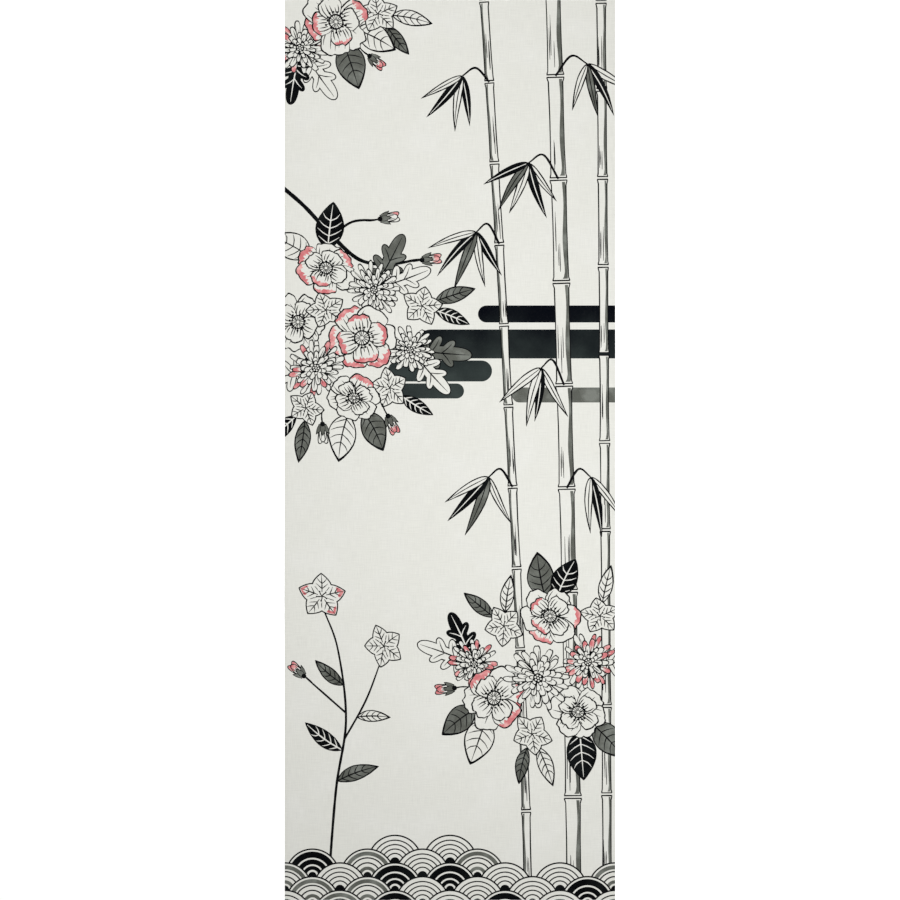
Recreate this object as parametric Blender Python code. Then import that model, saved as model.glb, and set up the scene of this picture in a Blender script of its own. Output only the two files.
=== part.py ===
"""Tenugui towel: one thin length of plain-woven cotton, spread out with its dyed face up.

X runs across the cloth from selvedge to selvedge, Y along its length and Z up.
The origin is on the underside, below the middle of the cloth. Everything is in metres.
"""
import math
from collections import namedtuple

import bmesh
import bpy

# Driving dimensions of the cloth.
CLOTH_WIDTH = 0.330
CLOTH_LENGTH = 0.900
CLOTH_THICKNESS = 0.001

# The cells that let the sheet bend: the softest swell below spans several of them.
CELLS_ACROSS = 18
CELLS_ALONG = 48

# The dry, undyed side of the cotton.
COTTON_COLOUR = (0.74, 0.745, 0.69, 1.0)
COTTON_ROUGHNESS = 0.92

# Places where the cloth, spread by hand, stays a little off the surface under it.
# Each swell is a soft low dome with an oval foot:
# across and along are its middle, reach_across and reach_along its half sizes,
# turn its angle in degrees and height how far the cloth stands up in the middle.
Swell = namedtuple("Swell", "across along reach_across reach_along turn height")
SWELLS = (
    Swell(-0.170, 0.255, 0.060, 0.120, 8, 0.0011),
    Swell(0.060, 0.325, 0.050, 0.110, -24, 0.0007),
    Swell(0.168, 0.080, 0.055, 0.100, -6, 0.0012),
    Swell(-0.085, 0.085, 0.045, 0.095, 30, 0.0006),
    Swell(-0.172, -0.140, 0.060, 0.090, -4, 0.0009),
    Swell(0.075, -0.150, 0.050, 0.120, 18, 0.0008),
    Swell(0.170, -0.330, 0.060, 0.110, 12, 0.0013),
    Swell(-0.050, -0.460, 0.090, 0.070, -10, 0.0010),
    Swell(-0.105, 0.462, 0.080, 0.055, 14, 0.0009),
)


def swell_height(swell, x, y):
    """Height that one swell gives the cloth at x, y: a raised cosine over its oval foot."""
    turn = math.radians(swell.turn)
    over_x = x - swell.across
    over_y = y - swell.along
    u = (over_x * math.cos(turn) + over_y * math.sin(turn)) / swell.reach_across
    v = (over_y * math.cos(turn) - over_x * math.sin(turn)) / swell.reach_along
    away = math.hypot(u, v)
    if away >= 1.0:
        return 0.0
    return swell.height * 0.5 * (1.0 + math.cos(math.pi * away))


def lie_height(x, y):
    """Height of the cloth's underside at x, y: nought wherever it touches the surface."""
    return sum(swell_height(swell, x, y) for swell in SWELLS)


def cotton_material():
    """Plain matt cotton."""
    material = bpy.data.materials.new("cotton")
    material.use_nodes = True
    shader = material.node_tree.nodes["Principled BSDF"]
    shader.inputs["Base Color"].default_value = COTTON_COLOUR
    shader.inputs["Roughness"].default_value = COTTON_ROUGHNESS
    shader.inputs["Metallic"].default_value = 0.0
    return material


def make_cloth():
    """The cloth: a flat grid laid on its swells, then given its thickness straight up.

    Both long sides are woven selvedges and both short ends are cut square, with no hem,
    so the sheet has its full size and one thickness right up to its edges.
    """
    mesh = bpy.data.meshes.new("cloth")
    shape = bmesh.new()
    bmesh.ops.create_grid(shape, x_segments=CELLS_ACROSS, y_segments=CELLS_ALONG, size=0.5)
    for vert in shape.verts:
        x = vert.co.x * CLOTH_WIDTH
        y = vert.co.y * CLOTH_LENGTH
        vert.co = (x, y, lie_height(x, y))
    grown = bmesh.ops.extrude_face_region(shape, geom=shape.faces[:])
    top = [item for item in grown["geom"] if isinstance(item, bmesh.types.BMVert)]
    bmesh.ops.translate(shape, verts=top, vec=(0.0, 0.0, CLOTH_THICKNESS))
    bmesh.ops.recalc_face_normals(shape, faces=shape.faces[:])
    shape.to_mesh(mesh)
    shape.free()
    mesh.shade_smooth()
    mesh.set_sharp_from_angle(angle=math.radians(40))
    mesh.materials.append(cotton_material())
    cloth = bpy.data.objects.new("cloth", mesh)
    bpy.context.collection.objects.link(cloth)
    return cloth


for old in list(bpy.data.objects):
    bpy.data.objects.remove(old, do_unlink=True)
make_cloth()
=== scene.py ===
import math
import random
from collections import defaultdict, namedtuple
from itertools import cycle

import bpy
import numpy as np
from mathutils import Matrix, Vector
from mathutils.geometry import delaunay_2d_cdt


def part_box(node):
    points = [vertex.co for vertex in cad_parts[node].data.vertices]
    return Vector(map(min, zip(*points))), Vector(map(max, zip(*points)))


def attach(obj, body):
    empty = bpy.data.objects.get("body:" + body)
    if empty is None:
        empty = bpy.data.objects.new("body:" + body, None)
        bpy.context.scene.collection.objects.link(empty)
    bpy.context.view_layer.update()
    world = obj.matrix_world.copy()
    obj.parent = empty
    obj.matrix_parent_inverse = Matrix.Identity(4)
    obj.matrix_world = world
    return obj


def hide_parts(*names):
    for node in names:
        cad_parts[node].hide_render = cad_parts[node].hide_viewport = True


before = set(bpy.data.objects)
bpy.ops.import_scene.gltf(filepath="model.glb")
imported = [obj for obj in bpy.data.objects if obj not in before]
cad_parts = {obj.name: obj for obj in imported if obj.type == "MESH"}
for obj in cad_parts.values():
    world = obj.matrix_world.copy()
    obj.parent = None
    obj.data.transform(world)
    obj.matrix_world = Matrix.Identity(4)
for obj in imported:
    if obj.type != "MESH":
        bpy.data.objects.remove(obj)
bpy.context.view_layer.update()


# ---------- the cloth and how it lies
# A tenugui is one length of plain-woven cotton, 33 cm from selvedge to selvedge. It is cut
# across every 90 cm and left unhemmed. It lies with its dyed face up, flat but for a few low
# swells that the starch holds, the same ones that its solid has.
MM = 0.001
cloth_low, cloth_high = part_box("cloth")
CLOTH_WIDTH = round(cloth_high.x - cloth_low.x, 4)
CLOTH_LENGTH = round(cloth_high.y - cloth_low.y, 4)
CLOTH_THICKNESS = 0.0006
HALF = np.array([CLOTH_WIDTH, CLOTH_LENGTH]) / MM / 2

Swell = namedtuple("Swell", "across along reach_across reach_along turn height")
SWELLS = (
    Swell(-0.170, 0.255, 0.060, 0.120, 8, 0.0011),
    Swell(0.060, 0.325, 0.050, 0.110, -24, 0.0007),
    Swell(0.168, 0.080, 0.055, 0.100, -6, 0.0012),
    Swell(-0.085, 0.085, 0.045, 0.095, 30, 0.0006),
    Swell(-0.172, -0.140, 0.060, 0.090, -4, 0.0009),
    Swell(0.075, -0.150, 0.050, 0.120, 18, 0.0008),
    Swell(0.170, -0.330, 0.060, 0.110, 12, 0.0013),
    Swell(-0.050, -0.460, 0.090, 0.070, -10, 0.0010),
    Swell(-0.105, 0.462, 0.080, 0.055, 14, 0.0009),
)


def lie(places):
    """Height of the cloth's underside at each place, and the way its face looks there."""
    height = np.zeros(len(places))
    facing = np.tile((0.0, 0.0, 1.0), (len(places), 1))
    for swell in SWELLS:
        turn = math.radians(swell.turn)
        across = np.array([math.cos(turn), math.sin(turn)]) / swell.reach_across
        along = np.array([-math.sin(turn), math.cos(turn)]) / swell.reach_along
        off = places - (swell.across, swell.along)
        u, v = off @ across, off @ along
        away = np.minimum(np.hypot(u, v), 1.0)
        height += swell.height * 0.5 * (1.0 + np.cos(math.pi * away))
        steep = swell.height * 0.5 * math.pi ** 2 * np.sinc(away)
        facing[:, :2] += steep[:, None] * (u[:, None] * across + v[:, None] * along)
    return height, facing / np.linalg.norm(facing, axis=1)[:, None]


# ---------- bars of mist
# The dyed design is drawn in millimetres from the cloth's middle, x to the left and y up, as
# on the back of a dyer's stencil. Each shape covers what was laid before it. First come
# round-ended bars of mist, the old way to part the near from the far, dyed solid.
BARE, BLACK, GREY, CORAL, MISTY = range(5)
STENCIL_TURNED = (-1.0, 1.0)
hand = random.Random(1923)
drawn = []

Bar = namedtuple("Bar", "begin end middle height dye")
MIST = (
    Bar(-190, -28, 136, 17, MISTY),
    Bar(-190, 34, 106, 29, MISTY),
    Bar(-42, 62, 79, 21, MISTY),
    Bar(-190, -62, 55, 15, GREY),
    Bar(-14, 112, 59, 15, MISTY),
)
ROUND_END_POINTS = 26


def lay(dye, outline):
    """Lays one dyed or reserved shape over those that are down, turned over onto the face."""
    drawn.append((dye, np.asarray(outline, dtype=float) * STENCIL_TURNED))


half_turn = np.linspace(-math.pi / 2, math.pi / 2, ROUND_END_POINTS)
for bar in MIST:
    radius = bar.height / 2
    round_end = radius * np.column_stack([np.cos(half_turn), np.sin(half_turn)])
    begin = (bar.begin + radius, bar.middle)
    end = (bar.end - radius, bar.middle)
    lay(bar.dye, np.vstack([round_end + end, begin - round_end]))


# ---------- bamboo canes
# Three canes stand on the right, from the lower end right up past the top one. Each is an
# inked line round bare cotton, shaded in grey along one side and drawn from ring to ring.
def uneven(share):
    """A factor near 1 that strays by a share, as a hand does."""
    return 1.0 + hand.uniform(-share, share)


def turned(points, degrees):
    """The points turned about nought."""
    a = math.radians(degrees)
    spin = np.array([[math.cos(a), math.sin(a)], [-math.sin(a), math.cos(a)]])
    return np.asarray(points, dtype=float) @ spin


def placed(x, y, turn, tip=1.0):
    """Gives the rule that spins points, tips them back and puts them at x, y on the cloth."""

    def put(points, spin=0.0):
        return turned(turned(points, spin) * (1.0, tip), turn) + (x, y)

    return put


OUTER_SHAKE = 0.10
INNER_SHAKE = 0.20


def lined(dye, outer, inner, put, spin=0.0):
    """A shape with an inked line round it: black out to outer, and the dye inside inner.
    The hand leaves both a little uneven, so the line swells and thins."""
    for fill, outline, shake in ((BLACK, outer, OUTER_SHAKE), (dye, inner, INNER_SHAKE)):
        shaken = []
        for x, y in outline:
            shaken.append((x + hand.uniform(-shake, shake), y + hand.uniform(-shake, shake)))
        lay(fill, put(shaken, spin))


def smooth_line(points, step):
    """A smooth line through the points, with a point about every step."""
    pts = np.asarray(points, dtype=float)
    run = np.vstack([2 * pts[0] - pts[1], pts, 2 * pts[-1] - pts[-2]])
    line = []
    for a, b, c, d in zip(run, run[1:], run[2:], run[3:]):
        count = max(math.ceil(math.dist(b, c) / step), 1)
        for t in np.arange(count) / count:
            bend = (2 * a - 5 * b + 4 * c - d) + t * (3 * b - a - 3 * c + d)
            line.append(b + 0.5 * t * ((c - a) + t * bend))
    return np.array(line + [pts[-1]])


PRESSED_BY = 0.3
LIFTED_OVER = 0.45


def stroke(points, width, start, end, dye=BLACK, step=2.2, shake=0.16):
    """One brush stroke through the points: its full width, and its share of it at each end.
    The brush is fully pressed after three tenths of its way, and is lifted near the end."""
    line = smooth_line(points, step)
    t = np.linspace(0.0, 1.0, len(line))
    pressing = start + (1 - start) * t / PRESSED_BY
    lifting = end + (1 - end) * (1 - t) / LIFTED_OVER
    press = np.minimum(np.minimum(pressing, lifting), 1.0)
    half = 0.5 * width * press * [uneven(shake) for _ in t]
    along = np.gradient(line, axis=0)
    along /= np.linalg.norm(along, axis=1)[:, None]
    side = np.column_stack([-along[:, 1], along[:, 0]]) * half[:, None]
    lay(dye, np.vstack([line + side, (line - side)[::-1]]))


def both_sides(along, out, bend=0.0):
    """A shape that reaches out to either side of a middle line, which may bend."""
    shape = np.vstack([np.column_stack([along, out]), np.column_stack([along, -out])[::-1]])
    shape[:, 1] += bend * shape[:, 0] ** 2 / along[-1]
    return shape


def bent(length, bend, shares, aside=0.0):
    """Points at shares of a length along +X, on its bend or aside of it."""
    return [(length * k, aside + bend * length * k * k) for k in shares]


# Where a cane's foot and head are, how wide it is, the height of its first ring, the way from
# ring to ring, and the side, 1 or -1, that is shaded.
Cane = namedtuple("Cane", "foot_x head_x width first spacing shade")
CANES = (
    Cane(-157, -151, 10, -432, 88, 1),
    Cane(-78, -34, 9, -442, 81, -1),
    Cane(-124, -103, 16, -450, 103, 1),
)
CANE_BOW = 1.35
CANE_LINE = 1.2
PAST_TOP_END = 28
GRAIN_STROKES = 3
GRAIN_WIDTH = 0.85


def ring_of(cane, n):
    """Where ring n of a cane is, on its slightly leaning line."""
    y = cane.first + n * cane.spacing
    rise = max(y / (2 * HALF[1]) + 0.5, 0)
    return cane.foot_x + (cane.head_x - cane.foot_x) * rise ** CANE_BOW, y


def draw_cane(cane):
    """A cane from ring to ring: each length narrows in its middle and flares to its rings.
    It is shaded along one side, and a few thin strokes give its grain."""
    count = math.ceil((HALF[1] + PAST_TOP_END - cane.first) / cane.spacing)
    rings = [ring_of(cane, n) for n in range(count + 1)]
    for (x0, y0), (x1, y1) in zip(rings, rings[1:]):
        put = placed(x0, y0, math.degrees(math.atan2(y1 - y0, x1 - x0)))
        long = math.dist((x0, y0), (x1, y1))
        along = [0.7, 2.0, 5.0, 0.3 * long, 0.6 * long, long - 6.0, long - 2.0, long - 0.7]
        along = np.array(along)
        out = cane.width / 2 * np.array([1.08, 1.12, 1.0, 0.94, 0.93, 0.98, 1.14, 1.08])
        lined(BARE, both_sides(along, out), both_sides(along[1:-1], out[1:-1] - CANE_LINE), put)
        inner = (cane.width / 2 - CANE_LINE) * cane.shade
        rim = [(long * k, inner * 0.97) for k in (0.03, 0.3, 0.7, 0.97)]
        deep = [(0.97, 0.5), (0.75, 0.62), (0.4, 0.35), (0.10, 0.55), (0.03, 0.2)]
        deep = smooth_line([(long * k, inner * d) for k, d in deep], 6)
        lay(GREY, put(np.vstack([rim, deep])))
        for _ in range(GRAIN_STROKES):
            off = hand.uniform(-0.32, 0.1) * cane.width * cane.shade
            begin = hand.uniform(0.06, 0.3) * long
            end = begin + long * hand.uniform(0.15, 0.4)
            stroke(put([(begin, off), (end, off)]), width=GRAIN_WIDTH, start=0.6, end=0.3, step=8)


for cane in CANES:
    draw_cane(cane)


# ---------- bamboo leaves
# Fans of long pointed leaves hang from thin twigs, which leave the canes at their rings.
# A leaf is dyed solid with its midrib held back in bare cotton, or only drawn round.

# The cane and the ring that a fan's twig leaves, how far the twig reaches over and up, the
# way the fan hangs, and the dye of each leaf.
Fan = namedtuple("Fan", "cane ring over up turn dyes")
FANS = (
    Fan(2, 8, -32, 12, -110, (BARE, BLACK, GREY, BARE)),
    Fan(1, 10, 27, 6, -66, (BLACK, BARE, BLACK, BARE)),
    Fan(2, 7, 30, 16, -76, (BARE, BLACK, BARE, GREY, BLACK)),
    Fan(1, 8, 23, 12, -68, (BLACK, BARE, GREY, BLACK, BARE)),
    Fan(2, 5, 23, 17, -78, (BARE, BLACK, BARE, BARE)),
    Fan(1, 5, 24, 10, -66, (BARE, GREY, BLACK, BARE)),
    Fan(2, 4, -24, 11, -104, (BARE, BLACK, BARE)),
)
TWIG_WIDTH = 2.3
LEAF_LENGTH = 60
LEAF_SPREAD = 26
LEAF_SLIMNESS = 0.083

# How wide the inked line round a leaf is: at its root, at its tip and along its sides.
Line = namedtuple("Line", "root tip side")
LONG_LINE = Line(2.0, 5.5, 1.25)


def blade_half(s, belly):
    """Half width of a pointed leaf at a share s of its length, as a share of its widest."""
    return np.sin(math.pi * np.clip(s, 0, 1) ** belly) ** 0.85


def blade(length, half, points, belly=0.75, bend=0.0):
    """A pointed leaf or petal from nought along +X."""
    u = 0.5 - 0.5 * np.cos(np.linspace(0, math.pi, points))
    shape = both_sides(length * u, half * blade_half(u, belly), bend)
    return np.delete(shape, (points, 2 * points - 1), axis=0)


def drawn_round(length, half, line, *shape):
    """The outer and the inner edge of the line round a leaf."""
    inner = blade(length - (line.root + line.tip), half - line.side, *shape)
    return blade(length, half, *shape), inner + (line.root, 0)


def bamboo_leaf(x, y, length, turn, bend, dye):
    """One long leaf with its midrib."""
    put = placed(x, y, turn)
    half = LEAF_SLIMNESS * length * uneven(0.1)
    lined(dye, *drawn_round(length, half, LONG_LINE, 14, 0.62, bend), put)
    veins = BARE if dye == BLACK else BLACK
    midrib = bent(length, bend, (0.05, 0.4, 0.72, 0.9))
    stroke(put(midrib), width=1.0, start=0.6, end=0.3, dye=veins, step=6.0)


for fan in FANS:
    x, y = ring_of(CANES[fan.cane], fan.ring)
    end = (x + fan.over, y + fan.up)
    arch = (x + fan.over / 2, y + fan.up + 8)
    stroke([(x, y), arch, end], width=TWIG_WIDTH, start=1.0, end=0.6, shake=0.08)
    middle = (len(fan.dyes) - 1) / 2
    for n, dye in enumerate(fan.dyes):
        long = LEAF_LENGTH * (1 - 0.09 * abs(n - middle)) * uneven(0.1)
        lean = (n - middle) * LEAF_SPREAD + hand.uniform(-5, 5)
        bamboo_leaf(*end, long, fan.turn + lean, hand.uniform(-0.16, 0.16), dye)


# ---------- flower stems
# Brushed stems carry the flowers. One branch comes in over the left selvedge, one over the
# top end's corner, and a plant of three stems stands in the waves with leaves of its own.
Stem = namedtuple("Stem", "width points")
STEMS = (
    Stem(4.0, ((174, 268), (146, 244), (118, 214), (90, 190), (60, 186), (34, 190), (28, 190))),
    Stem(2.6, ((118, 214), (98, 228), (76, 230), (70, 231))),
    Stem(3.0, ((174, 372), (150, 388), (128, 412))),
    Stem(2.6, ((122, -440), (114, -340), (104, -270), (112, -200), (126, -160))),
    Stem(2.0, ((106, -290), (84, -250), (68, -208))),
    Stem(2.0, ((104.2, -262.7), (130, -240), (146, -226))),
)
StemLeaf = namedtuple("StemLeaf", "x y length turn dye")
STEM_LEAVES = (
    StemLeaf(113, -331, 44, 152, GREY),
    StemLeaf(107.8, -300, 46, 28, BLACK),
    StemLeaf(93.5, -267, 34, 172, BARE),
    StemLeaf(106, -235, 38, 32, GREY),
)
OVAL_LINE = Line(1.8, 3.2, 1.25)
OVAL_BELLY = 0.86


def oval_leaf(x, y, length, turn, dye, half, bend):
    """A broad pointed leaf, with its veins held back in black, or inked on grey or bare."""
    put = placed(x, y, turn)
    half *= length
    lined(dye, *drawn_round(length, half, OVAL_LINE, 19, OVAL_BELLY, bend), put)
    veins = BARE if dye == BLACK else BLACK
    midrib = bent(length, bend, (0.03, 0.35, 0.65, 0.93))
    stroke(put(midrib), width=1.3, start=0.9, end=0.3, dye=veins, step=4)
    for side in (-half, half):
        for k in (0.12, 0.28, 0.44, 0.60):
            points = []
            for out, on in ((0.0, 0.0), (0.45, 0.06), (0.84, 0.15)):
                wide = side * out * blade_half(k + on, OVAL_BELLY)
                points.append((length * (k + on), wide + bend * length * (k + on) ** 2))
            stroke(put(points), width=1.0, start=0.9, end=0.3, dye=veins, step=4)


for stem in STEMS:
    stroke(stem.points, width=stem.width, start=1.0, end=0.6, step=4, shake=0.07)
for leaf in STEM_LEAVES:
    oval_leaf(*leaf, half=0.18, bend=0.15)


# ---------- flowers, buds and their leaves
# Camellias, chrysanthemums and bellflowers grow in three sprays and on the small plant, in
# fine inked lines on bare cotton. Here and there coral is brushed on along the petals' tips.
def disc(radius, points, wobble=0.0):
    """A round spot."""
    a = np.arange(points) * 2 * math.pi / points
    r = radius * np.array([uneven(wobble) for _ in a])
    return np.column_stack([r * np.cos(a), r * np.sin(a)])


def spoon(length, half, root=0.34, blunt=5.0, points=12, bend=0.0, dent=0.0):
    """A petal from nought along +X: a narrow root, and widest near its round tip."""
    a = np.linspace(0.0, math.pi / 2, points)
    u = np.sin(a) ** (2.0 / blunt)
    out = half * (root + (1 - root) * u ** 1.4) * np.cos(a)
    out[-1] = 0.12 * half
    return both_sides(length * (u - dent * (1 - out / half) ** 4 * (u > 0.8)), out, bend)


def broad_half(s):
    """Half width of a broad petal at a share s of its length, as a share of its widest."""
    a = np.arccos(1 - 2 * np.clip(s, 0, 1))
    return np.sin(a) ** 0.85 * (0.35 + 0.65 * np.sin(a / 2) ** 1.5)


def broad(length, half, waves, phase):
    """A broad round petal from nought along +X, with a wavy edge."""
    a = np.linspace(0.0, math.pi, 40)
    s = 0.5 - 0.5 * np.cos(a)
    edge = 1 + 0.035 * np.cos(waves * a + phase) + 0.02 * np.cos(2.3 * waves * a + 2 * phase)
    wide = half * broad_half(s)
    top = np.column_stack([length * s * edge, wide * edge])
    low = np.column_stack([length * s * edge[::-1], -wide * edge[::-1]])
    return np.vstack([top[:-1], low[::-1][:-1]])


def blush(put, spin, shape, length, depth):
    """Coral brushed on along a petal's tip, with a streaky inner edge."""
    tip = shape[shape[:, 0] > length * (1 - depth)]
    middle = (len(tip) - 1) / 2
    inner = []
    for n, point in enumerate(tip[::-1]):
        fade = 1.0 - abs((n - middle) / (middle + 0.5)) ** 3
        pull = depth * fade * hand.triangular(0.25, 1.15, 0.5)
        inner.append(point * (1 - pull, 1 - 0.55 * pull))
    lay(CORAL, put(np.vstack([tip, inner]), spin))


# A ring of petals: how far it reaches, how many it has and the half width of one, in shares of
# the head's radius, the width of its inked line, and where a petal's veins run across it.
Ring = namedtuple("Ring", "reach count half line veins")
RINGS = (
    Ring(1.00, 16, 0.152, 1.3, (-0.36, 0.3)),
    Ring(0.80, 13, 0.150, 1.3, (0.1,)),
    Ring(0.60, 11, 0.138, 1.3, (0.0,)),
    Ring(0.42, 9, 0.118, 1.1, ()),
    Ring(0.26, 6, 0.095, 1.1, ()),
)
BLUSHED_RINGS = RINGS[:2]


def chrysanthemum(x, y, radius, turn, tip, coral):
    """A full chrysanthemum head: rings of narrow petals that grow shorter to its middle."""
    put = placed(x, y, turn, tip)
    for ring in RINGS:
        line = ring.line
        if ring is not RINGS[0]:
            lay(BLACK, put(disc(radius * ring.reach * 0.62, 20, 0.12)))
        first = hand.uniform(0, 360)
        order = list(range(ring.count))
        hand.shuffle(order)
        for n in order:
            spin = first + 360.0 * n / ring.count + hand.uniform(-5, 5)
            length = radius * ring.reach * uneven(0.07)
            wide = radius * ring.half * uneven(0.13)
            bend = hand.uniform(-0.12, 0.12)
            dent = hand.choice((0.0, 0.03, 0.07))
            outer = spoon(length, wide, bend=bend, dent=dent)
            inner = spoon(length - 1.9 * line, wide - 0.92 * line, bend=bend, dent=dent)
            inner += (0.9 * line, hand.uniform(-0.35, 0.35))
            lined(BARE, outer, inner, put, spin)
            if ring in BLUSHED_RINGS and hand.random() < coral:
                blush(put, spin, inner, length, hand.uniform(0.34, 0.5))
            for side in ring.veins:
                vein = [(length * k, side * wide * (0.4 + 0.9 * k) + bend * length * k * k)
                        for k in (0.3, 0.5, hand.uniform(0.62, 0.86))]
                stroke(put(vein, spin), width=0.95, start=0.9, end=0.3, step=5.0)
    lay(BLACK, put(disc(radius * 0.15, 12, 0.06)))
    lay(BARE, put(disc(radius * 0.03, 6)))
    for n in range(6):
        lay(BARE, put(disc(radius * 0.03, 6) + (radius * 0.085, 0), 60 * n))


STAMENS = 15


def camellia(x, y, radius, turn, tip, coral):
    """An open camellia: broad overlapping petals round a brush of stamens."""
    put = placed(x, y, turn, tip)
    line = 1.4
    for reach, count, half in ((1.0, 6, 0.56), (0.72, 4, 0.46)):
        first = hand.uniform(0, 360)
        for n in range(count):
            spin = first + 360.0 * n / count + hand.uniform(-7, 7)
            length = radius * reach * uneven(0.05)
            wide = radius * half * uneven(0.08)
            waves, phase = hand.choice((3, 4, 5)), hand.uniform(0, 2 * math.pi)
            inner = broad(length - 2.0 * line, wide - line, waves, phase)
            inner += (line, hand.uniform(-0.45, 0.45))
            lined(BARE, broad(length, wide, waves, phase), inner, put, spin)
            if hand.random() < coral:
                blush(put, spin, inner, length, hand.uniform(0.2, 0.32))
            for k in range(-2, 3):
                fan = (k * 0.34 + hand.uniform(-0.08, 0.08)) * wide
                begin, end = hand.uniform(0.28, 0.40), hand.uniform(0.52, 0.86)
                vein = [(length * s, fan * broad_half(s)) for s in (begin, (begin + end) / 2, end)]
                stroke(put(vein, spin), width=1.05, start=0.9, end=0.25, step=5.0)
    lay(BLACK, put(disc(radius * 0.24, 28, 0.05)))
    lay(BARE, put(disc(radius * 0.19, 24, 0.03)))
    for n in range(STAMENS):
        spin = 360.0 / STAMENS * n + hand.uniform(-5, 5)
        far = radius * hand.uniform(0.24, 0.34)
        stamen = [(radius * 0.05, 0), (far * 0.6, 0.3), (far, 0)]
        stroke(put(stamen, spin), width=0.85, start=0.8, end=0.8, step=4.0)
        lay(BLACK, put(disc(hand.uniform(1.05, 1.35), 8) + (far, 0), spin))


FIFTH = 360 / 5
STAR_POINTS = 13
STAR_BELLY = 0.80


def bellflower(x, y, radius, turn, tip, coral):
    """An open bellflower: five pointed petals grown together, with branching veins."""
    put = placed(x, y, turn, tip)
    line = 1.35
    half = radius * 0.42
    bends = [hand.uniform(-0.05, 0.05) for _ in range(5)]
    for dye, grow in ((BLACK, 0.0), (BARE, line)):
        for n, bend in enumerate(bends):
            petal = blade(radius - 2.1 * grow, half - grow, STAR_POINTS, STAR_BELLY, bend)
            lay(dye, put(petal + (grow * 0.9, 0), FIFTH * n))
    lay(BARE, put(disc(half, 20)))
    for n, bend in enumerate(bends):
        spin = FIFTH * n
        if hand.random() < coral:
            petal = blade(radius - 2.6 * line, half - 1.4 * line, STAR_POINTS, STAR_BELLY, bend)
            blush(put, spin, petal + (line, 0), radius, hand.uniform(0.3, 0.4))
        middle = [(radius * 0.17, 0), (radius * 0.5, hand.uniform(-0.4, 0.4)),
                  (radius * 0.92, bend * radius * 0.8)]
        stroke(put(middle, spin), width=1.1, start=0.6, end=0.3)
        for side in (-radius, radius):
            for k in (0.32, 0.54):
                vein = [(radius * k, 0), (radius * (k + 0.09), side * 0.10),
                        (radius * (k + 0.22), side * (0.328 - 0.24 * k) * uneven(0.1))]
                stroke(put(vein, spin), width=0.95, start=0.8, end=0.3, step=3.0)
        between = spin + FIFTH / 2
        fold = [(radius * 0.24, 0), (radius * 0.36, 0.3), (radius * 0.50, 0)]
        stroke(put(fold, between), width=0.8, start=0.4, end=0.8, step=4.0)
        arm = [(0, 0), (radius * 0.11, 0), (radius * 0.19, radius * 0.03)]
        stroke(put(arm, between), width=1.1, start=0.7, end=0.9, step=2.0)
        lay(BLACK, put(disc(0.95, 7) + (radius * 0.21, radius * 0.03), between))


def bud(x, y, length, turn, tip, coral):
    """A closed bud that opens from its cup, which points back along its stalk."""
    put = placed(x, y, turn, tip)
    line = 1.2
    half = length * 0.26
    for bend in (0.17, -0.17, 0.0):
        reach = length * (1.0 if bend else 0.92)
        outer = spoon(reach, half, 0.75, 2.8, 9, bend)
        inner = spoon(reach - 1.9 * line, half - line, 0.75, 2.8, 9, bend)
        lined(BARE, outer, inner + (line, 0), put)
        if hand.random() < coral:
            blush(put, 0, inner + (line, 0), length, 0.42)
        for off in (-0.35, 0.3):
            vein = bent(length, bend, (0.3, 0.55, hand.uniform(0.6, 0.8)), half * off)
            stroke(put(vein), width=0.9, start=0.8, end=0.3)
    cup = blade(length * 0.62, half * 0.55, 10, 0.6)
    for lean in (34, -34, 0):
        lined(GREY, turned(cup, lean), turned(cup * 0.8 + (0.8, 0), lean), put)
    lay(BLACK, put(disc(half * 0.5, 10)))
    stalk = [(0, 0), (-length * 0.35, 0.6), (-length * 0.7, 0)]
    stroke(put(stalk), width=1.5, start=1.0, end=0.8)


def lobed_leaf(x, y, length, turn, dye):
    """A chrysanthemum leaf: round lobes on either side of its midrib, dyed flat, with veins.
    A lobe has a root on the midrib, a reach, a half width and a lean."""
    put = placed(x, y, turn)
    lobes = [(0.30, 0.72, 0.21, 0)]
    for side in (-1, 1):
        lobes.append((0.10, 0.42, 0.13, side * 62))
        lobes.append((0.34, 0.40, 0.13, side * 47))
        lobes.append((0.0, 0.36, 0.10, side * 100))
    for fill, grow in ((BLACK, 0.0), (dye, 1.2)):
        lay(fill, put(blade(length * 0.86 - 2 * grow, length * 0.17 - grow, 12) + (grow, 0)))
        for root, reach, half, lean in lobes:
            lobe = spoon(length * reach - 2 * grow, length * half - grow, root=0.75, blunt=3.0)
            lay(fill, put(turned(lobe + (grow, 0), lean) + (length * root, 0)))
    veins = BARE if dye == BLACK else BLACK
    midrib = [(-length * 0.1, 0), (length * 0.4, 0.5), (length * 0.94, 0)]
    stroke(put(midrib), width=1.3, start=1.0, end=0.25, dye=veins)
    for root, reach, half, lean in lobes[1:]:
        out = turned([(length * reach * 0.36, 0), (length * reach * 0.78, 0)], lean)
        vein = [(length * root, 0), out[0] + (length * root + 0.8, 0), out[1] + (length * root, 0)]
        stroke(put(vein), width=0.95, start=0.9, end=0.25, dye=veins)


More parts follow.
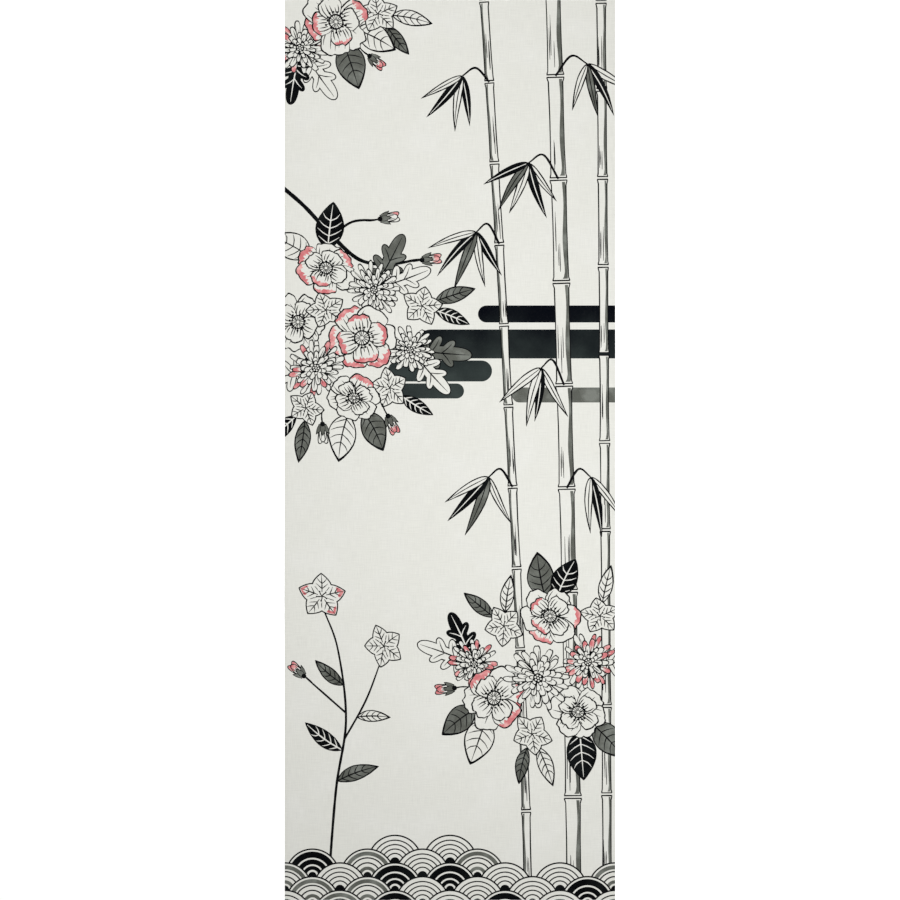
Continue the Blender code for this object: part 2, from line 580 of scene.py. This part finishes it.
# A flower or bud: where it is, its size, how far it is turned and how much its face tips away,
# how likely a petal is to have coral, and the ways its leaves point.
Bloom = namedtuple("Bloom", "kind x y radius turn tip coral leaves")
BLOOMS = (
    # beside the middle, hanging in from the left selvedge
    Bloom(bud, 70, 231, 20, 172, 1.0, 0.5, ()),
    Bloom(bud, 28, 190, 20, 175, 1.0, 1.0, ()),
    Bloom(camellia, 124, 182, 30, 20, 0.88, 0.3, (95, 35)),
    Bloom(chrysanthemum, 76, 160, 29, 70, 0.9, 0.0, (118, 160)),
    Bloom(bellflower, 28, 144, 22, 30, 0.9, 0.0, (160, 198)),
    Bloom(camellia, 152, 128, 30, 80, 0.94, 0.0, (40,)),
    Bloom(chrysanthemum, 40, 100, 27, 10, 0.88, 0.0, (185, 228)),
    Bloom(bellflower, 124, 140, 21, 0, 0.9, 0.0, ()),
    Bloom(camellia, 88, 112, 35, 10, 0.95, 0.7, ()),
    Bloom(bellflower, 60, 62, 22, 80, 0.85, 0.0, (215,)),
    Bloom(chrysanthemum, 134, 82, 31, 130, 0.9, 0.55, (-15,)),
    Bloom(bud, 127.5, 26, 20, 268, 1.0, 0.0, ()),
    Bloom(camellia, 96, 52, 27, 200, 0.85, 0.3, (235, 290)),
    Bloom(bellflower, 144, 42, 20, 40, 0.85, 0.0, (275, 320)),
    Bloom(bud, 62, 34, 20, 245, 1.0, 1.0, ()),
    # at the top end, by the left selvedge
    Bloom(bud, 80.5, 394, 19, 220, 1.0, 1.0, ()),
    Bloom(bellflower, 72, 436, 22, 10, 0.9, 0.0, (185, 235)),
    Bloom(chrysanthemum, 150, 402, 29, 20, 0.9, 0.3, (235, 280)),
    Bloom(camellia, 114, 428, 34, 50, 0.92, 0.5, (200, 250)),
    # low on the right, in front of the canes
    Bloom(bellflower, -150, -166, 21, 10, 0.9, 0.0, (100,)),
    Bloom(camellia, -100, -166, 31, 30, 0.9, 0.3, (75, 110)),
    Bloom(bellflower, -54, -176, 22, 60, 0.9, 0.0, (95, 40)),
    Bloom(chrysanthemum, -138, -212, 30, 100, 0.9, 0.6, (180,)),
    Bloom(chrysanthemum, -24, -214, 27, 55, 0.9, 0.4, (65, 20)),
    Bloom(camellia, -44, -248, 33, 120, 0.94, 0.35, (-30, -70)),
    Bloom(camellia, -128, -262, 29, 200, 0.9, 0.0, (220, 265)),
    Bloom(chrysanthemum, -88, -228, 34, 20, 0.94, 0.0, ()),
    Bloom(bellflower, -82, -284, 23, 50, 0.85, 0.0, (245, 290)),
    Bloom(bud, -4.5, -238, 20, -5, 1.0, 1.0, ()),
    # on stems that stand in the waves
    Bloom(bellflower, 128, -146, 25, 20, 0.92, 0.8, ()),
    Bloom(bellflower, 66, -196, 23, 70, 0.85, 0.0, ()),
    Bloom(bud, 146, -226, 19, 41, 1.0, 1.0, ()),
)
LOBED_LENGTH = 42
BROAD_LENGTH = 47
SLIM_LENGTH = 40
UNDER_BLOOM = 0.62
leaf_dyes = cycle((BLACK, BARE, GREY, BARE, GREY, BLACK, BARE, GREY, BARE))

for bloom in BLOOMS:
    for angle in bloom.leaves:
        root = turned([(UNDER_BLOOM * bloom.radius, 0)], angle)[0] + (bloom.x, bloom.y)
        dye = next(leaf_dyes)
        bend = hand.uniform(-0.15, 0.15)
        if bloom.kind is chrysanthemum:
            lobed_leaf(*root, LOBED_LENGTH * uneven(0.08), angle, dye)
        elif bloom.kind is camellia:
            oval_leaf(*root, BROAD_LENGTH * uneven(0.08), angle, dye, 0.30, bend)
        else:
            oval_leaf(*root, SLIM_LENGTH * uneven(0.08), angle, dye, 0.19, bend)
for bloom in BLOOMS:
    bloom.kind(*bloom[1:-1])


# ---------- the wave ground
# Along the lower end runs the old pattern of overlapping round waves. Each scale is a set of
# rings, dyed full, fine or softened with grey, and each row overlaps the row above it.
WAVE_RADIUS = 27.5
WAVE_ROWS = 6
CREST_ROWS = 3.6
LONG_RISE = 46.0
SHORT_RISE = 21.0

# Where the rings of a wave begin, from the outside in, as shares of its radius, and the dyes
# that they take by turns.
Wave = namedtuple("Wave", "shares dyes")
FULL = Wave((1.0, 0.945, 0.885, 0.66, 0.60, 0.42, 0.36, 0.22, 0.15), (BLACK, BARE))
FINE = Wave((1.0, 0.945, 0.82, 0.775, 0.66, 0.615, 0.50, 0.455, 0.34, 0.295, 0.18),
            (BLACK, BARE))
SOFT = Wave((1.0, 0.945, 0.885, 0.74, 0.68, 0.63, 0.50, 0.45, 0.34, 0.22, 0.15),
            (BLACK, BARE, GREY, BARE, BLACK, BARE))

for row in range(WAVE_ROWS, -1, -1):
    for column in range(-1, 8):
        x = -HALF[0] + (2 * column + row % 2) * WAVE_RADIUS
        y = -HALF[1] + (0.5 * row - 0.62) * WAVE_RADIUS
        crest = CREST_ROWS + math.sin(x / LONG_RISE + 0.6) + 0.45 * math.sin(x / SHORT_RISE)
        if row < crest:
            wave = hand.choice((FULL, FINE, SOFT, FINE))
            for share, dye in zip(wave.shares, cycle(wave.dyes)):
                lay(dye, disc(WAVE_RADIUS * share, 18 + round(56 * share)) + (x, y))


# ---------- the cloth's two faces and its edge
# The dyes go into the yarn, so each dyed area is a part of the cloth's own face. The face is
# cut along every outline that still shows, and the same areas show through on the back.
# The ends are cut straight across the warp, a little uneven from yarn to yarn.

# OFF stands for no cloth, and BACK is added to a dye's number on the underside. The rest are
# millimetres. Four corners OUTSIDE the cloth close the sheet that it is cut from.
OFF = -1
BACK = 5
OUTSIDE = 60
FACE_STEP = 9.0
THIN_TO = 0.02
JOINED = 0.001
END_STEP = 0.9
END_FRAY = 0.3
BUCKET = 10.0


def cut_end(side):
    """The line of a cut end from selvedge to selvedge: side is -1 for the lower end, or 1."""
    x = np.linspace(-HALF[0], HALF[0], round(2 * HALF[0] / END_STEP) + 1)
    frayed = END_FRAY * np.array([0, *(hand.random() for _ in x[2:]), 0])
    return np.column_stack([x, side * (HALF[1] - frayed)])


def cut_along(lines, dots):
    """Cuts the flat cloth along the lines into triangles, with corners at the dots too.
    Gives the corners, the triangles and the sides that lie on a line."""
    corners, sides = [], []
    for line in lines:
        first = len(corners)
        corners += map(Vector, line)
        sides += [(n, n + 1) for n in range(first, len(corners) - 1)]
    corners += map(Vector, dots)
    made = delaunay_2d_cdt(corners, sides, [], 0, JOINED, True)
    on_lines = [side for side, lines_there in zip(made[1], made[4]) if lines_there]
    return np.array(made[0]), np.array(made[2]), np.array(on_lines)


def inside(places, outline):
    """Which of the places are inside the outline, by counting its sides to their right."""
    a, b = outline, np.roll(outline, -1, axis=0)
    under = places[:, 1:] < a[:, 1]
    level = under != (places[:, 1:] < b[:, 1])
    with np.errstate(divide="ignore", invalid="ignore"):
        at = a[:, 0] + (places[:, 1:] - a[:, 1]) * (b[:, 0] - a[:, 0]) / (b[:, 1] - a[:, 1])
    return (level & (places[:, :1] < at)).sum(1) % 2 == 1


def dye_at(places, shapes):
    """The dye at each place: that of the last shape laid over it, or OFF where there is no
    cloth. The places are first sorted into square buckets, to test few against each shape."""
    dyes = np.full(len(places), BARE)
    unset = np.ones(len(places), dtype=bool)
    buckets = defaultdict(list)
    for n, key in enumerate(map(tuple, np.floor(places / BUCKET).astype(int))):
        buckets[key].append(n)
    for dye, outline in reversed(shapes):
        low, high = np.floor([outline.min(0) / BUCKET, outline.max(0) / BUCKET]).astype(int)
        near = [n for i in range(low[0], high[0] + 1) for j in range(low[1], high[1] + 1)
                for n in buckets.get((i, j), ())]
        near = np.array(near, dtype=int)
        near = near[unset[near]]
        under = near[inside(places[near], outline)]
        dyes[under] = dye
        unset[under] = False
    x, y = places.T
    past_ends = (y < np.interp(x, *low_end.T)) | (y > np.interp(x, *top_end.T))
    dyes[past_ends | (np.abs(x) > HALF[0])] = OFF
    return dyes


def sides_of(triangles):
    """The sides of the triangles: all their first sides, then the second and the third."""
    return np.concatenate([triangles[:, [0, 1]], triangles[:, [1, 2]], triangles[:, [2, 0]]])


def shared_sides(triangles):
    """Each side between two triangles: its corners, and the two triangles."""
    sides = sides_of(triangles)
    sides.sort(axis=1)
    owners = np.tile(np.arange(len(triangles)), 3)
    order = np.lexsort(sides.T)
    sides, owners = sides[order], owners[order]
    first = np.flatnonzero((sides[1:] == sides[:-1]).all(1))
    return sides[first], np.column_stack([owners[first], owners[first + 1]])


def chains_of(sides):
    """Strings the sides together into chains that run from fork to fork, or right round."""
    at_corner = defaultdict(list)
    for n, side in enumerate(sides):
        for corner in side:
            at_corner[corner].append(n)
    left = set(range(len(sides)))
    forks = [corner for corner, met in at_corner.items() if len(met) != 2]
    starts = [(corner, n) for corner in forks for n in at_corner[corner]]
    chains = []
    for corner, n in starts + [(side[0], n) for n, side in enumerate(sides)]:
        if n not in left:
            continue
        chain = [corner]
        while n is not None:
            left.discard(n)
            a, b = sides[n]
            corner = b if a == corner else a
            chain.append(corner)
            onward = [m for m in at_corner[corner] if m in left]
            n = onward[0] if onward and len(at_corner[corner]) == 2 else None
        chains.append(chain)
    return chains


def thinned(line):
    """The line with only the points that its shape needs."""
    kept = [0]
    while kept[-1] < len(line) - 1:
        here = kept[-1]
        there = here + 1
        while there + 1 < len(line):
            run = line[there + 1] - line[here]
            long = math.hypot(*run)
            if long < THIN_TO or long > FACE_STEP:
                break
            off = (line[here + 1:there + 1] - line[here]) @ (-run[1], run[0]) / long
            if np.abs(off).max() > THIN_TO:
                break
            there += 1
        kept.append(there)
    return line[kept]


def hang_together(count, pairs):
    """A number for each of count triangles, the same for all that the pairs join."""
    number = np.arange(count)
    while True:
        before = number.copy()
        lower = number[pairs].min(1)
        np.minimum.at(number, pairs[:, 0], lower)
        np.minimum.at(number, pairs[:, 1], lower)
        number = number[number]
        if (number == before).all():
            return number


low_end, top_end = cut_end(-1), cut_end(1)
edge = np.vstack([low_end, top_end[::-1]])
shapes = [(dye, s) for dye, s in drawn if (s.max(0) > -HALF).all() and (s.min(0) < HALF).all()]
past_x, past_y = HALF + OUTSIDE
corners_off = [(x, y) for x in (-past_x, past_x) for y in (-past_y, past_y)]
closed = [np.vstack([s, s[:1]]) for s in [edge] + [outline for _, outline in shapes]]

# First the cloth is cut along every outline, to find the lines that still show between dyes.
corners, triangles, _ = cut_along(closed, corners_off)
dyes = dye_at(corners[triangles].mean(1), shapes)
sides, pairs = shared_sides(triangles)
showing = sides[dyes[pairs[:, 0]] != dyes[pairs[:, 1]]]
lines = [thinned(corners[chain]) for chain in chains_of(showing.tolist())]

# Then it is cut along those lines alone, with staggered dots between them to carry the swells.
# The triangles that hang together between the lines are one area, and have the dye that is
# found in the middle of the largest of them.
rows = round(2 * HALF[1] / FACE_STEP)
columns = round(2 * HALF[0] / FACE_STEP)
dots = [(HALF[0] * (2 * (i + j % 2 / 2) / columns - 1), HALF[1] * (2 * j / rows - 1))
        for j in range(1, rows) for i in range(columns + 1 - j % 2)]
corners, triangles, on_lines = cut_along(lines, dots + corners_off)
sides, pairs = shared_sides(triangles)
on_lines = set(map(tuple, np.sort(on_lines, axis=1).tolist()))
open_sides = [tuple(side) not in on_lines for side in sides.tolist()]
area = hang_together(len(triangles), pairs[open_sides])
a, b, c = corners[triangles].transpose(1, 0, 2)
size = (b[:, 0] - a[:, 0]) * (c[:, 1] - a[:, 1]) - (b[:, 1] - a[:, 1]) * (c[:, 0] - a[:, 0])
order = np.lexsort((size, area))
largest = order[np.append(area[order][1:] != area[order][:-1], True)]
dye_of_area = np.full(len(triangles), OFF)
dye_of_area[area[largest]] = dye_at(corners[triangles[largest]].mean(1), shapes)
dyes = dye_of_area[area]

# The face is laid out on the swells, the back 0.6 mm under it, and a rounded rim joins them.
EDGE_ROUND = 0.00015
on_cloth = dyes != OFF
dyes = dyes[on_cloth]
used, triangles = np.unique(triangles[on_cloth], return_inverse=True)
triangles = triangles.reshape(-1, 3)
flat = corners[used] * MM
count = len(flat)

sides = sides_of(triangles)
is_rim = ~np.isin(sides[:, 0] * count + sides[:, 1], sides[:, 1] * count + sides[:, 0])
rim, rim_dyes = sides[is_rim], np.tile(dyes, 3)[is_rim]
run = flat[rim[:, 1]] - flat[rim[:, 0]]
outward = np.zeros((count, 2))
for end in (0, 1):
    np.add.at(outward, rim[:, end], np.column_stack([run[:, 1], -run[:, 0]]))
on_rim = np.flatnonzero(outward.any(axis=1))
outward = outward[on_rim] / np.linalg.norm(outward[on_rim], axis=1)[:, None]
middle_of = np.zeros(count, dtype=int)
middle_of[on_rim] = np.arange(len(on_rim)) + 2 * count

height, facing = lie(flat)
top = np.column_stack([flat, height + CLOTH_THICKNESS])
under = np.column_stack([flat, height])
half_way = height[on_rim] + CLOTH_THICKNESS / 2
round_edge = np.column_stack([flat[on_rim] + EDGE_ROUND * outward, half_way])
points = np.vstack([top, under, round_edge])
looks = np.vstack([facing, -facing, np.column_stack([outward, np.zeros(len(on_rim))])])
a, b = rim.T
upper_rim = np.column_stack([a, middle_of[a], middle_of[b], b])
lower_rim = np.column_stack([middle_of[a], a + count, b + count, middle_of[b]])
faces = triangles.tolist() + (triangles[:, ::-1] + count).tolist()
faces += upper_rim.tolist() + lower_rim.tolist()
dye_of_face = np.concatenate([dyes, dyes + BACK, rim_dyes, rim_dyes + BACK])

mesh = bpy.data.meshes.new("dyed_cloth")
mesh.from_pydata(points.tolist(), [], faces)
mesh.shade_smooth()
mesh.polygons.foreach_set("material_index", dye_of_face)
mesh.normals_split_custom_set_from_vertices(looks.tolist())
cloth = bpy.data.objects.new("dyed_cloth", mesh)
bpy.context.scene.collection.objects.link(cloth)

# Each dye keeps a flat copy of the cloth to itself in the map, so that no dye's edge is
# blurred by its neighbour's. The bare face and back are large. Beside them the dyes are small,
# four above one another.
MAP_GAP = 0.008
MAP_FILLED = 0.97
BIG = MAP_FILLED / (CLOTH_LENGTH + 2 * EDGE_ROUND)
SMALL = BIG / 4.15


def map_place(dye):
    """The low corner and the scale of one dye's copy of the cloth in the map."""
    side, dye = divmod(dye, BACK)
    if dye == BARE:
        return MAP_GAP + side * (CLOTH_WIDTH * BIG + MAP_GAP), MAP_GAP, BIG
    u = 2 * (CLOTH_WIDTH * BIG + MAP_GAP) + MAP_GAP + side * (CLOTH_WIDTH * SMALL + MAP_GAP)
    return u, MAP_GAP + (dye - 1) * (CLOTH_LENGTH * SMALL + MAP_GAP), SMALL


corner_of = np.empty(len(mesh.loops), dtype=np.int32)
mesh.loops.foreach_get("vertex_index", corner_of)
sizes = np.empty(len(mesh.polygons), dtype=np.int32)
mesh.polygons.foreach_get("loop_total", sizes)
place = np.array([map_place(dye) for dye in range(2 * BACK)])[np.repeat(dye_of_face, sizes)]
across = points[corner_of, :2] + (CLOTH_WIDTH / 2, CLOTH_LENGTH / 2)
uv = place[:, :2] + across * place[:, 2:]
mesh.uv_layers.new(name="OFBake").data.foreach_set("uv", uv.astype(np.float32).ravel())


# ---------- the finish of the cotton
# The cloth is a plain weave of single cotton yarns, about 22 to the centimetre, a little
# slubbed and bleached off-white. The dyes sink in, black more deeply here and there, grey
# evenly and coral thinly, and show paler on the back.
def node(tree, kind, *feeds, **settings):
    """Adds a node with its settings, and feeds its inputs in turn from sockets or values."""
    made = tree.nodes.new("ShaderNode" + kind)
    for name, value in settings.items():
        setattr(made, name, value)
    for socket, feed in zip(made.inputs, feeds):
        if isinstance(feed, bpy.types.NodeSocket):
            tree.links.new(feed, socket)
        elif feed is not None:
            socket.default_value = feed
    return made


def set_values(made, values):
    """Sets inputs of a node by their names."""
    for name, value in values.items():
        made.inputs[name].default_value = value


def maths(tree, operation, *feeds):
    """One step of arithmetic."""
    return node(tree, "Math", *feeds, operation=operation).outputs[0]


def vector_maths(tree, operation, *feeds):
    """The like with places."""
    return node(tree, "VectorMath", *feeds, operation=operation).outputs[0]


def noise(tree, place, scale, detail):
    """Soft spots from 0 to 1."""
    return node(tree, "TexNoise", place, None, scale, detail).outputs[0]


def mixed(tree, share, first, second, way="MIX"):
    """A colour between the first and the second, or their product."""
    feeds = (share, None, None, None, None, None, first, second)
    return node(tree, "Mix", *feeds, data_type="RGBA", blend_type=way).outputs[2]


def ramp(tree, value, begin, end):
    """How far a value has come from begin to end, from 0 to 1."""
    return node(tree, "MapRange", value, begin, end, 0.0, 1.0).outputs[0]


def new_group(name, inputs, outputs):
    """An empty node group: itself, what comes into it and what goes out."""
    group = bpy.data.node_groups.new(name, "ShaderNodeTree")
    for way, sockets in (("INPUT", inputs), ("OUTPUT", outputs)):
        for label, kind in sockets:
            group.interface.new_socket(label, in_out=way, socket_type="NodeSocket" + kind)
    given = group.nodes.new("NodeGroupInput").outputs
    return group, given, group.nodes.new("NodeGroupOutput").inputs


YARN_STRAYS = (0.0006, 0.0006, 0.0)
STRAY_SCALE = 110.0
DENSER_IN_SELVEDGE = 0.6
WARP_SLUBS = (1500.0, 70.0, 0.0)
WEFT_SLUBS = (70.0, 1400.0, 0.0)


def plain_weave():
    """Warp and weft that go over and under each other: their height, and a tone near 1 with
    painted shade in the gaps.
    """
    tree, given, out = new_group(
        "plain weave",
        (("Warp Pitch", "Float"), ("Weft Pitch", "Float"), ("Slubs", "Float"),
         ("Selvedge", "Float")),
        (("Height", "Float"), ("Tone With Painted Shade", "Float")))
    place = node(tree, "TexCoord").outputs["Object"]
    stray = node(tree, "TexNoise", place, None, STRAY_SCALE, 1.0).outputs[1]
    stray = vector_maths(tree, "SUBTRACT", stray, (0.5, 0.5, 0.5))
    stray = vector_maths(tree, "MULTIPLY", stray, YARN_STRAYS)
    place = vector_maths(tree, "ADD", place, stray)
    x, y, _ = node(tree, "SeparateXYZ", place).outputs
    in_selvedge = maths(tree, "GREATER_THAN", maths(tree, "ABSOLUTE", x), given["Selvedge"])
    denser = maths(tree, "MULTIPLY_ADD", in_selvedge, DENSER_IN_SELVEDGE, 1.0)
    u = maths(tree, "MULTIPLY", maths(tree, "DIVIDE", x, given["Warp Pitch"]), math.pi)
    v = maths(tree, "MULTIPLY", maths(tree, "DIVIDE", y, given["Weft Pitch"]), math.pi)
    across = maths(tree, "SINE", maths(tree, "MULTIPLY", u, denser))
    along = maths(tree, "SINE", v)
    heights = []
    for own, other, over in ((across, along, 0.5), (along, across, -0.5)):
        passing = maths(tree, "MULTIPLY", maths(tree, "SIGN", own), other)
        lift = maths(tree, "MULTIPLY_ADD", passing, over, 0.5)
        heights.append(maths(tree, "MULTIPLY", maths(tree, "ABSOLUTE", own), lift))
    yarn = maths(tree, "MAXIMUM", *heights)
    slubs = [noise(tree, vector_maths(tree, "MULTIPLY", place, stretch), 1.0, 1.0)
             for stretch in (WARP_SLUBS, WEFT_SLUBS)]
    slub = maths(tree, "SUBTRACT", maths(tree, "ADD", *slubs), 1.0)

    # Painted shade: the gaps between the yarns are darker than their tops. The selvedge is a
    # little darker too.
    tone = maths(tree, "MULTIPLY_ADD", yarn, 0.09, 0.95)
    tone = maths(tree, "MULTIPLY_ADD", in_selvedge, -0.012, tone)
    tree.links.new(maths(tree, "MULTIPLY_ADD", slub, given["Slubs"], tone), out["Tone With Painted Shade"])
    tree.links.new(maths(tree, "MULTIPLY_ADD", slub, 0.7, yarn), out["Height"])
    return tree


# The painted sheen starts 145 mm above the cloth's middle and is full 75 mm above it.
PAINTED_SHEEN_FROM = 0.145
PAINTED_SHEEN_TO = 0.075
FIBRE_SCALE = 1900.0


def dye_in_yarn():
    """How deep a dye is in the yarn. It clouds from thin to deep and misses a fibre or two.
    It can also be made lighter towards the lower end, a painted sheen."""
    tree, given, out = new_group(
        "dye in yarn",
        (("Deep", "Color"), ("Thin", "Color"), ("Bare", "Color"), ("Clouds", "Float"),
         ("Fade", "Float"), ("Missed", "Float"), ("Height", "Float"), ("Tone With Painted Shade", "Float")),
        (("Color", "Color"), ("Roughness", "Float")))
    place = node(tree, "TexCoord").outputs["Object"]
    cloud = ramp(tree, noise(tree, place, given["Clouds"], 4.0), 0.36, 0.64)
    y = node(tree, "SeparateXYZ", place).outputs[1]
    # Painted sheen: the dye is made lighter towards the lower end, by the share that it is given.
    brushed = ramp(tree, y, PAINTED_SHEEN_FROM, PAINTED_SHEEN_TO)
    brushed = maths(tree, "MULTIPLY", maths(tree, "SUBTRACT", brushed, cloud), given["Fade"])
    cloud = maths(tree, "POWER", maths(tree, "ADD", cloud, brushed), 2.0)
    colour = mixed(tree, cloud, given["Deep"], given["Thin"])
    speck = ramp(tree, noise(tree, place, FIBRE_SCALE, 1.0), 0.62, 0.78)
    speck = maths(tree, "MULTIPLY", speck, given["Missed"])
    colour = mixed(tree, speck, colour, given["Bare"])
    # The weave's tone, with its painted shade between the yarns, darkens the colour.
    tone = node(tree, "CombineColor", *[given["Tone With Painted Shade"]] * 3).outputs[0]
    tree.links.new(mixed(tree, 1.0, colour, tone, "MULTIPLY"), out["Color"])

    # The yarns' tops are a little smoother than the gaps, and a deep dye than a thin one.
    rough = maths(tree, "MULTIPLY_ADD", given["Height"], -0.08, 0.94)
    tree.links.new(maths(tree, "MULTIPLY_ADD", cloud, 0.03, rough), out["Roughness"])
    return tree


def as_light(colour):
    """A colour from 0 to 255, as the eye sees it, as shares of the light that it sends back."""
    shares = [c / 255 for c in colour]
    return (*[((c + 0.055) / 1.055) ** 2.4 if c > 0.04 else c / 12.92 for c in shares], 1.0)


WARP_PITCH = 0.00044
WEFT_PITCH = 0.00048
SELVEDGE = 0.003
SLUBS = 0.14
RELIEF = 0.00008
# A dye's fade is a painted sheen: how far it is made lighter towards the lower end.
Dye = namedtuple("Dye", "name deep thin clouds fade missed gloss sheen")
COTTON = Dye("bleached cotton", (216, 216, 209), (218, 218, 212), 22.0, 0.0, 0.0, 0.15, 0.08)
DYES = (
    COTTON,
    Dye("black dye", (4, 5, 7), (16, 19, 20), 34.0, 0.0, 0.04, 0.03, 0.01),
    Dye("grey dye", (85, 87, 81), (115, 118, 112), 60.0, 0.0, 0.25, 0.10, 0.05),
    Dye("coral dye", (197, 108, 112), (224, 166, 163), 140.0, 0.0, 0.45, 0.10, 0.05),
    Dye("misty black dye", (4, 6, 13), (56, 64, 62), 26.0, 0.75, 0.04, 0.02, 0.01),
)
SHOWS_THROUGH = 0.55
weave = plain_weave()
dyeing = dye_in_yarn()

for back in (False, True):
    for dye in DYES:
        material = bpy.data.materials.new(dye.name + (", back" if back else ""))
        material.use_nodes = True
        tree = material.node_tree
        shader = tree.nodes["Principled BSDF"]
        woven = node(tree, "Group", node_tree=weave)
        set_values(woven, {"Warp Pitch": WARP_PITCH, "Weft Pitch": WEFT_PITCH, "Slubs": SLUBS,
                           "Selvedge": CLOTH_WIDTH / 2 - SELVEDGE})
        dyed = node(tree, "Group", node_tree=dyeing)
        share = SHOWS_THROUGH if back else 1.0
        deep = [bare + share * (c - bare) for c, bare in zip(dye.deep, COTTON.deep)]
        thin = [bare + share * (c - bare) for c, bare in zip(dye.thin, COTTON.thin)]
        set_values(dyed, {"Deep": as_light(deep), "Thin": as_light(thin),
                          "Bare": as_light(COTTON.thin), "Clouds": dye.clouds,
                          "Fade": dye.fade, "Missed": dye.missed})
        for label in ("Height", "Tone With Painted Shade"):
            tree.links.new(woven.outputs[label], dyed.inputs[label])
        tree.links.new(dyed.outputs["Color"], shader.inputs["Base Color"])
        tree.links.new(dyed.outputs["Roughness"], shader.inputs["Roughness"])
        relief = node(tree, "Bump")
        set_values(relief, {"Strength": 0.5, "Distance": RELIEF})
        tree.links.new(woven.outputs["Height"], relief.inputs["Height"])
        tree.links.new(relief.outputs[0], shader.inputs["Normal"])
        set_values(shader, {"Specular IOR Level": dye.gloss, "Sheen Weight": dye.sheen,
                            "Sheen Roughness": 0.5})
        cloth.data.materials.append(material)

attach(cloth, "root")
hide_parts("cloth")


# ---------- the studio
# A pale floor and a bright room, with a broad soft box above the right of the cloth and a
# weaker one past its top end. The camera hangs straight above and takes in the cloth from cut
# end to cut end.
FLOOR_SIZE = 8.0
FLOOR_HEIGHT = -0.0004
FLOOR_GLOW = 0.31
ROOM_LIGHT = 0.39
WHITE = (1.0, 1.0, 1.0, 1.0)

bpy.ops.object.select_all(action="DESELECT")
bpy.ops.mesh.primitive_plane_add(size=FLOOR_SIZE, location=(0, 0, FLOOR_HEIGHT))
floor = bpy.context.object
floor.name = "floor"
paint = bpy.data.materials.new("pale floor")
paint.use_nodes = True
tree = paint.node_tree
shader = tree.nodes["Principled BSDF"]
cloud = noise(tree, node(tree, "TexCoord").outputs["Object"], 3.0, 3.0)
pale = mixed(tree, cloud, (0.97, 0.97, 0.965, 1.0), (0.985, 0.985, 0.98, 1.0))
tree.links.new(pale, shader.inputs["Base Color"])
set_values(shader, {"Roughness": 1.0, "Specular IOR Level": 0.0, "Emission Color": WHITE,
                    "Emission Strength": FLOOR_GLOW})
floor.data.materials.append(paint)

room = bpy.data.worlds.new("bright room")
room.use_nodes = True
set_values(room.node_tree.nodes["Background"], {"Color": WHITE, "Strength": ROOM_LIGHT})
bpy.context.scene.world = room

SOFT_BOX_SIZE = 0.8
SoftBox = namedtuple("SoftBox", "name place energy")
SOFT_BOXES = (
    SoftBox("soft box on the right", Vector((0.20, -0.12, 0.80)), 5.40),
    SoftBox("soft box past the top end", Vector((-0.11, 0.57, 0.60)), 2.16),
)
for soft_box in SOFT_BOXES:
    bpy.ops.object.light_add(type="AREA", location=soft_box.place)
    lamp = bpy.context.object
    lamp.name = soft_box.name
    lamp.data.shape = "DISK"
    lamp.data.size = SOFT_BOX_SIZE
    lamp.data.energy = soft_box.energy
    lamp.rotation_euler = (-soft_box.place).to_track_quat("-Z", "Y").to_euler()

CAMERA_HEIGHT = 3.0
SENSOR = 36.0
bpy.ops.object.camera_add(location=(0, 0, CAMERA_HEIGHT), rotation=(0, 0, 0))
camera = bpy.context.object
camera.name = "camera"
camera.data.sensor_width = SENSOR
camera.data.lens = SENSOR * CAMERA_HEIGHT / CLOTH_LENGTH
bpy.context.scene.camera = camera
bpy.context.scene.view_settings.view_transform = "Standard"
